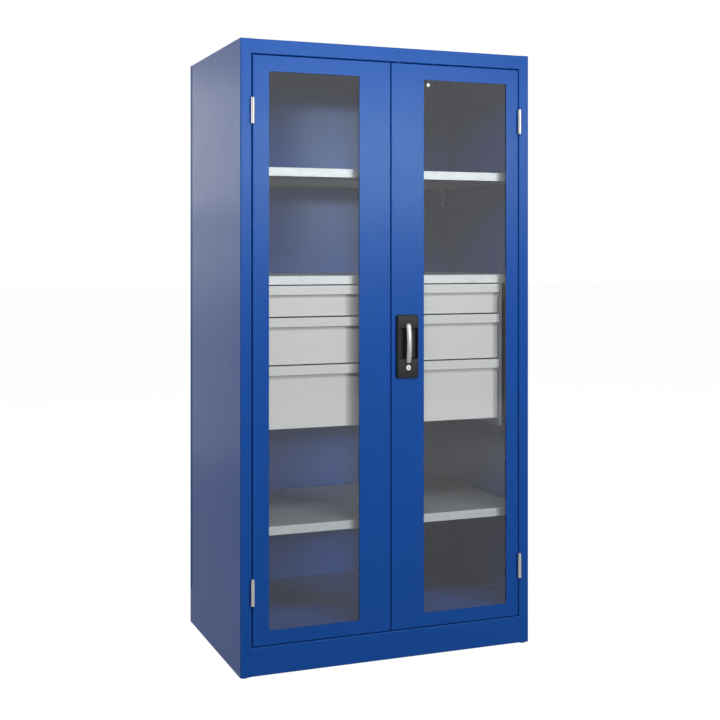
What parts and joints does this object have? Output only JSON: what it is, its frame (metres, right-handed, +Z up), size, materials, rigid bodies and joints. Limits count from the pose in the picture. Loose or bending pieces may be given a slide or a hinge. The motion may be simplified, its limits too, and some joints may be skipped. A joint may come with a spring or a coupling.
{
  "type": "heavy-duty storage cabinet",
  "caption": "Tall two-door steel storage cabinet with windowed doors, shelves on clips, a hung drawer block and a turn-lever lock that draws two rods.",
  "frame": {"origin": "on the floor, at the middle of the whole footprint, which runs from the lever's foremost point to the rear of the carcass", "axes": "+Z up, +X to the right as seen from the front, the doors face -Y"},
  "size_m": [1, 0.627, 1.95],
  "materials": {
    "blue_enamel": "gentian blue powder coat, semi-gloss, with a fine orange peel",
    "grey_enamel": "light grey powder coat, satin",
    "galvanised_sheet": "hot-dip galvanised sheet with a faint spangle",
    "zinc_plate": "bright zinc-plated steel",
    "glide_plastic": "moulded polyamide",
    "rubber": "black rubber",
    "clear_pane": "clear sheet, slightly smoky",
    "black_moulding": "fine-textured black polyamide moulding",
    "satin_lever": "die-cast, satin silver",
    "nickel_plate": "nickel-plated brass"
  },
  "bodies": {
    "carcass": {"side_panel_right": "blue_enamel", "side_panel_left": "blue_enamel", "top_panel": "blue_enamel", "floor_panel": "blue_enamel", "plinth_front": "blue_enamel", "back_panel": "blue_enamel", "front_post_right": "blue_enamel", "front_post_left": "blue_enamel", "rear_post_right": "blue_enamel", "rear_post_left": "blue_enamel", "foot_plates": "zinc_plate", "floor_glides": "glide_plastic", "shelf_upper": "galvanised_sheet", "shelf_middle": "galvanised_sheet", "shelf_lower": "galvanised_sheet", "shelf_clips": "zinc_plate", "frame_hinge_halves": "zinc_plate", "hinge_pins": "zinc_plate", "door_buffers": "rubber", "rod_keepers": "zinc_plate", "drawer_block_side_right": "galvanised_sheet", "drawer_block_side_left": "galvanised_sheet", "drawer_block_tie": "galvanised_sheet", "runner_outer_members": "zinc_plate"},
    "left_door": {"left_door_skin": "blue_enamel", "left_door_channels": "blue_enamel", "left_door_pane": "clear_pane", "left_door_gasket": "rubber", "left_door_pane_strips": "zinc_plate", "left_door_hinge_halves": "zinc_plate"},
    "right_door": {"right_door_skin": "blue_enamel", "right_door_channels": "blue_enamel", "right_door_pane": "clear_pane", "right_door_gasket": "rubber", "right_door_pane_strips": "zinc_plate", "right_door_hinge_halves": "zinc_plate", "lock_housing": "black_moulding", "lock_case": "zinc_plate", "lock_case_screws": "zinc_plate", "lock_cylinder": "nickel_plate", "rod_guides": "zinc_plate"},
    "turn_lever": {"lever": "satin_lever", "lever_spindle": "zinc_plate"},
    "key_core": {"lock_core": "nickel_plate"},
    "upper_lock_rod": {"upper_rod": "zinc_plate"},
    "lower_lock_rod": {"lower_rod": "zinc_plate"},
    "drawer_upper": {"drawer_upper_tray": "grey_enamel", "drawer_upper_grip": "grey_enamel", "drawer_upper_inner_runners": "zinc_plate"},
    "drawer_upper_runners": {"drawer_upper_middle_runners": "zinc_plate"},
    "drawer_middle": {"drawer_middle_tray": "grey_enamel", "drawer_middle_grip": "grey_enamel", "drawer_middle_inner_runners": "zinc_plate"},
    "drawer_middle_runners": {"drawer_middle_middle_runners": "zinc_plate"},
    "drawer_lower": {"drawer_lower_tray": "grey_enamel", "drawer_lower_grip": "grey_enamel", "drawer_lower_inner_runners": "zinc_plate"},
    "drawer_lower_runners": {"drawer_lower_middle_runners": "zinc_plate"}
  },
  "joints": [
    {"name": "left_door_hinge", "type": "hinge", "parent": "carcass", "child": "left_door", "pos_m": [-0.4625, -0.2928, 0.975], "axis": [0, 0, -1], "range_deg": [0, 180]},
    {"name": "right_door_hinge", "type": "hinge", "parent": "carcass", "child": "right_door", "pos_m": [0.4625, -0.2928, 0.975], "axis": [0, 0, 1], "range_deg": [0, 180]},
    {"name": "lever_turn", "type": "hinge", "parent": "right_door", "child": "turn_lever", "pos_m": [0.055, -0.297, 1.064], "axis": [0, -1, 0], "range_deg": [0, 90]},
    {"name": "upper_rod_slide", "type": "slide", "parent": "right_door", "child": "upper_lock_rod", "axis": [0, 0, -1], "range_m": [0, 0.019]},
    {"name": "lower_rod_slide", "type": "slide", "parent": "right_door", "child": "lower_lock_rod", "axis": [0, 0, 1], "range_m": [0, 0.019]},
    {"name": "key_turn", "type": "hinge", "parent": "right_door", "child": "key_core", "pos_m": [0.055, -0.297, 0.93], "axis": [0, -1, 0], "range_deg": [0, 90]},
    {"name": "drawer_upper_slide", "type": "slide", "parent": "carcass", "child": "drawer_upper", "axis": [0, -1, 0], "range_m": [0, 0.01]},
    {"name": "drawer_upper_runner_slide", "type": "slide", "parent": "carcass", "child": "drawer_upper_runners", "axis": [0, -1, 0], "range_m": [0, 0.005]},
    {"name": "drawer_middle_slide", "type": "slide", "parent": "carcass", "child": "drawer_middle", "axis": [0, -1, 0], "range_m": [0, 0.01]},
    {"name": "drawer_middle_runner_slide", "type": "slide", "parent": "carcass", "child": "drawer_middle_runners", "axis": [0, -1, 0], "range_m": [0, 0.005]},
    {"name": "drawer_lower_slide", "type": "slide", "parent": "carcass", "child": "drawer_lower", "axis": [0, -1, 0], "range_m": [0, 0.01]},
    {"name": "drawer_lower_runner_slide", "type": "slide", "parent": "carcass", "child": "drawer_lower_runners", "axis": [0, -1, 0], "range_m": [0, 0.005]}
  ],
  "couplings": [
    {"joint": "upper_rod_slide", "follows": "lever_turn", "m_per_rad": 0.012},
    {"joint": "lower_rod_slide", "follows": "lever_turn", "m_per_rad": 0.012},
    {"joint": "drawer_upper_runner_slide", "follows": "drawer_upper_slide", "ratio": 0.5},
    {"joint": "drawer_middle_runner_slide", "follows": "drawer_middle_slide", "ratio": 0.5},
    {"joint": "drawer_lower_runner_slide", "follows": "drawer_lower_slide", "ratio": 0.5}
  ]
}
